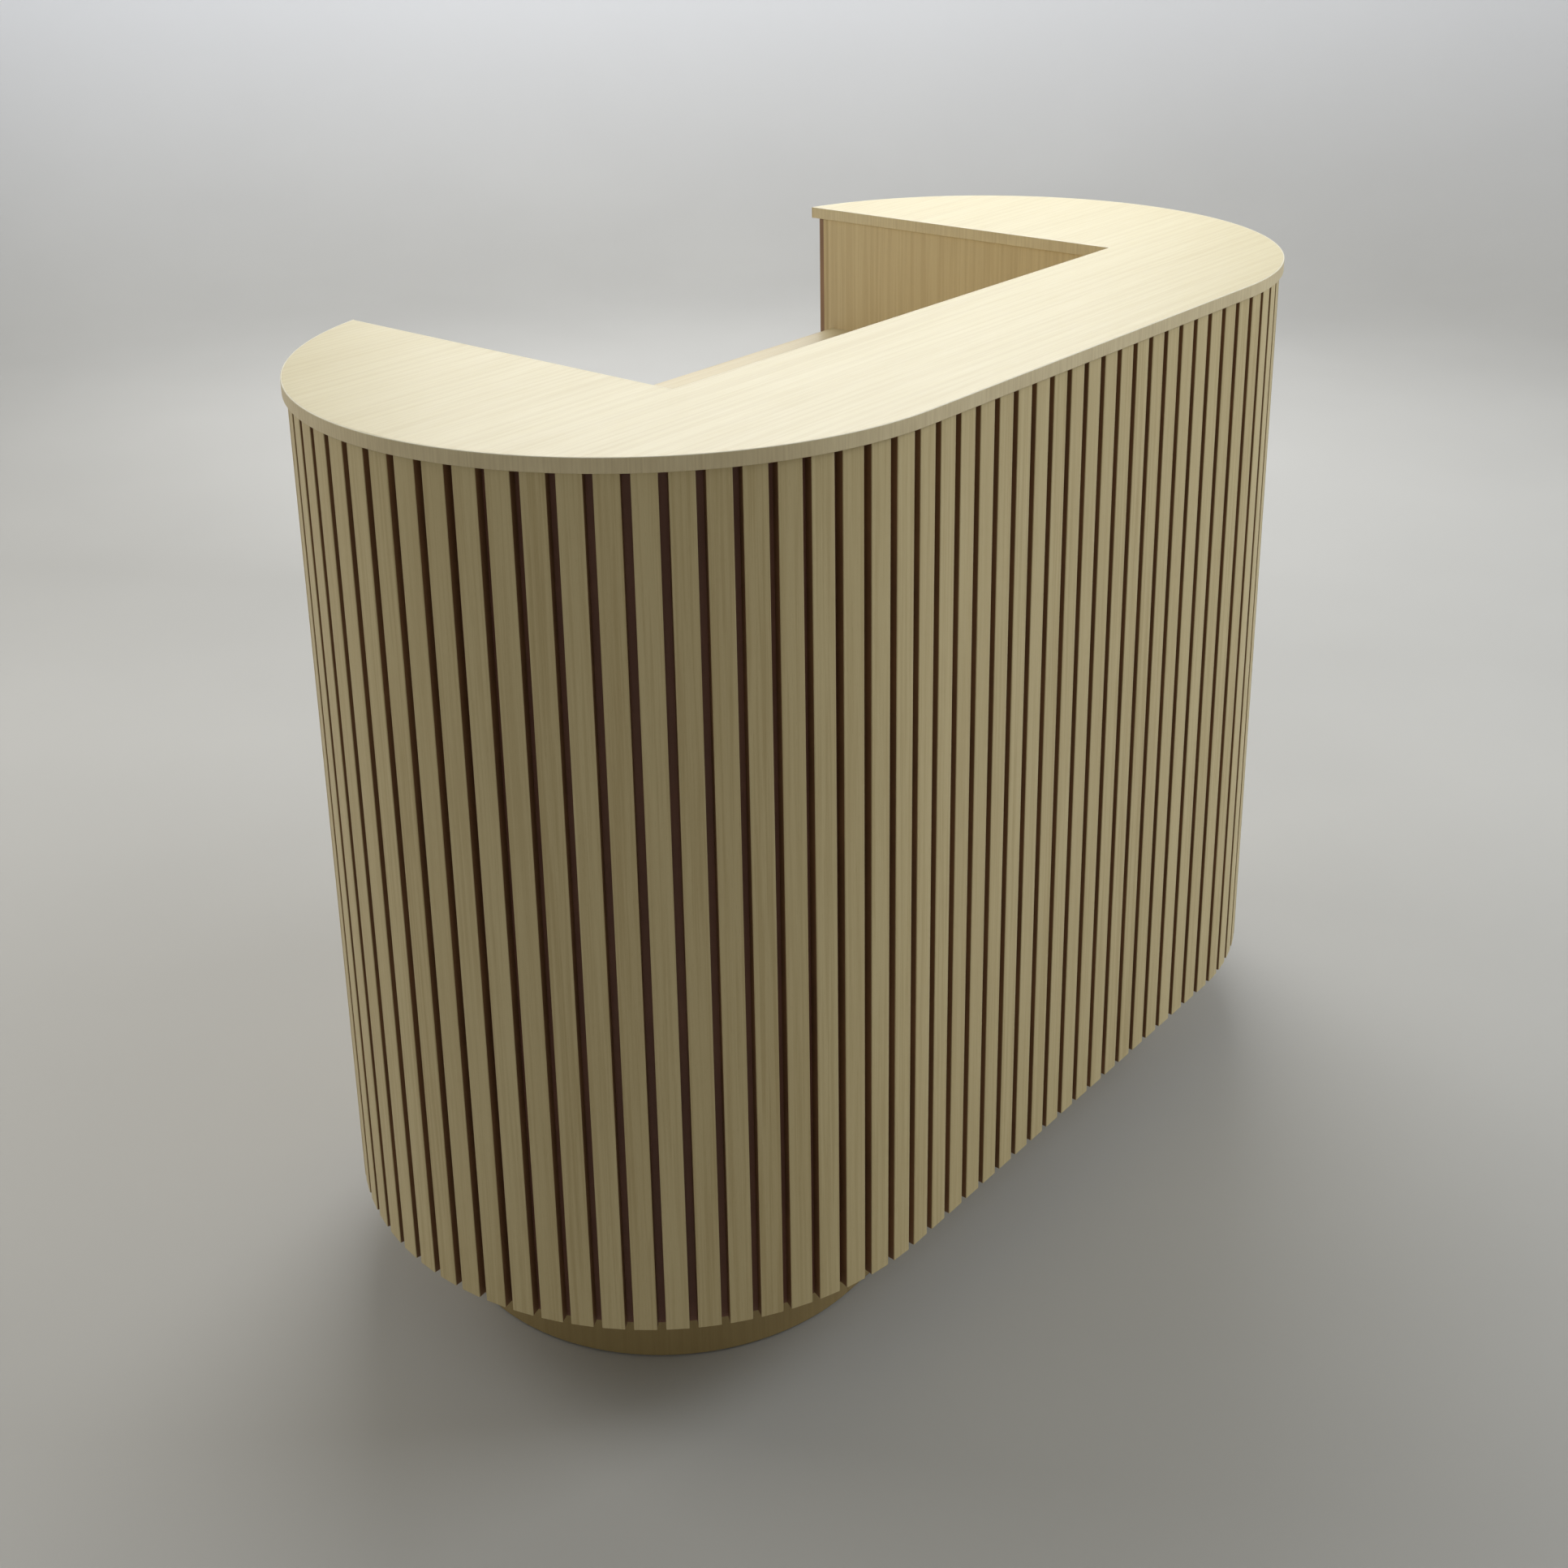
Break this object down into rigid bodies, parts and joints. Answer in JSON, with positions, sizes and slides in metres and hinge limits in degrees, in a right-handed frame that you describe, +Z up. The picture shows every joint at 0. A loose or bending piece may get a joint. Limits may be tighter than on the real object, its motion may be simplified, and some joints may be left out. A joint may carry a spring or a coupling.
{
  "type": "checkout counter",
  "caption": "Standing-height checkout counter with vertically slatted front and rounded ends, a U-shaped ledge round a lower cashier worktop, and staff-side drawers and shelf.",
  "frame": {"origin": "centre of the whole footprint, on the floor", "axes": "+X along the counter to the right as a customer facing it sees it, +Y from the customer's side to the staff side, +Z up"},
  "size_m": [1.442, 0.7602, 1.118],
  "materials": {
    "top_laminate": "pale maple laminate, satin, straight grain along the counter",
    "worktop_laminate": "pale maple laminate, satin",
    "edge_band": "wood-look edge strip, satin",
    "slat_wood": "light oak-tone slats, vertical grain, satin",
    "dark_backing": "dark chocolate brown painted board behind the slats",
    "carcass_board": "pale melamine-faced board",
    "panel_wood": "oak-tone laminate with vertical grain",
    "frame_board": "raw plywood and MDF",
    "plinth_wood": "oak-tone laminate",
    "drawer_board": "pale melamine drawer board",
    "black_rubber": "matt",
    "zinc_steel": "zinc plated",
    "brushed_pull": "brushed",
    "chrome_lock": "satin chrome",
    "black_plastic": "matt moulded"
  },
  "bodies": {
    "carcass": {"counter_top": "top_laminate", "worktop": "worktop_laminate", "worktop_band": "edge_band", "top_outer_band": "edge_band", "top_inner_band": "edge_band", "front_slats": "slat_wood", "left_end_slats": "slat_wood", "right_end_slats": "slat_wood", "front_backing": "dark_backing", "left_end_backing": "dark_backing", "right_end_backing": "dark_backing", "base_deck": "carcass_board", "centre_partition": "carcass_board", "adjustable_shelf": "carcass_board", "left_wing_panel": "panel_wood", "right_wing_panel": "panel_wood", "inner_front_panel": "panel_wood", "front_ribs": "frame_board", "left_wing_ribs": "frame_board", "right_wing_ribs": "frame_board", "front_studs": "frame_board", "left_wing_studs": "frame_board", "right_wing_studs": "frame_board", "front_kick": "plinth_wood", "rear_kick": "plinth_wood", "left_kick": "plinth_wood", "right_kick": "plinth_wood", "foot_blocks": "frame_board", "foot_pads": "black_rubber", "foot_stems": "zinc_steel", "foot_nuts": "zinc_steel", "worktop_cleats": "carcass_board", "cleat_screws": "zinc_steel", "worktop_grommet": "black_plastic", "floor_grommet": "black_plastic", "shelf_pins": "zinc_steel", "slide_channels": "zinc_steel", "lock_rail": "carcass_board"},
    "upper_drawer": {"upper_drawer_box": "drawer_board", "upper_drawer_front": "panel_wood", "upper_drawer_pull": "brushed_pull", "upper_drawer_pull_screws": "zinc_steel", "upper_drawer_runners": "zinc_steel", "lock_housing": "chrome_lock"},
    "middle_drawer": {"middle_drawer_box": "drawer_board", "middle_drawer_front": "panel_wood", "middle_drawer_pull": "brushed_pull", "middle_drawer_pull_screws": "zinc_steel", "middle_drawer_runners": "zinc_steel"},
    "lower_drawer": {"lower_drawer_box": "drawer_board", "lower_drawer_front": "panel_wood", "lower_drawer_pull": "brushed_pull", "lower_drawer_pull_screws": "zinc_steel", "lower_drawer_runners": "zinc_steel"},
    "lock_barrel": {"lock_plug": "chrome_lock", "lock_cam": "zinc_steel"},
    "cable_cap": {"grommet_cap": "black_plastic"}
  },
  "joints": [
    {"name": "upper_drawer_slide", "type": "slide", "parent": "carcass", "child": "upper_drawer", "axis": [0, 1, 0], "range_m": [0, 0.3]},
    {"name": "middle_drawer_slide", "type": "slide", "parent": "carcass", "child": "middle_drawer", "axis": [0, 1, 0], "range_m": [0, 0.3]},
    {"name": "lower_drawer_slide", "type": "slide", "parent": "carcass", "child": "lower_drawer", "axis": [0, 1, 0], "range_m": [0, 0.3]},
    {"name": "lock_turn", "type": "hinge", "parent": "upper_drawer", "child": "lock_barrel", "pos_m": [-0.221, 0.34294, 0.892], "axis": [0, 1, 0], "range_deg": [0, 90]},
    {"name": "cable_cap_turn", "type": "hinge", "parent": "carcass", "child": "cable_cap", "pos_m": [0.22, -0.06906, 0.939], "axis": [0, 0, 1], "continuous": true}
  ]
}
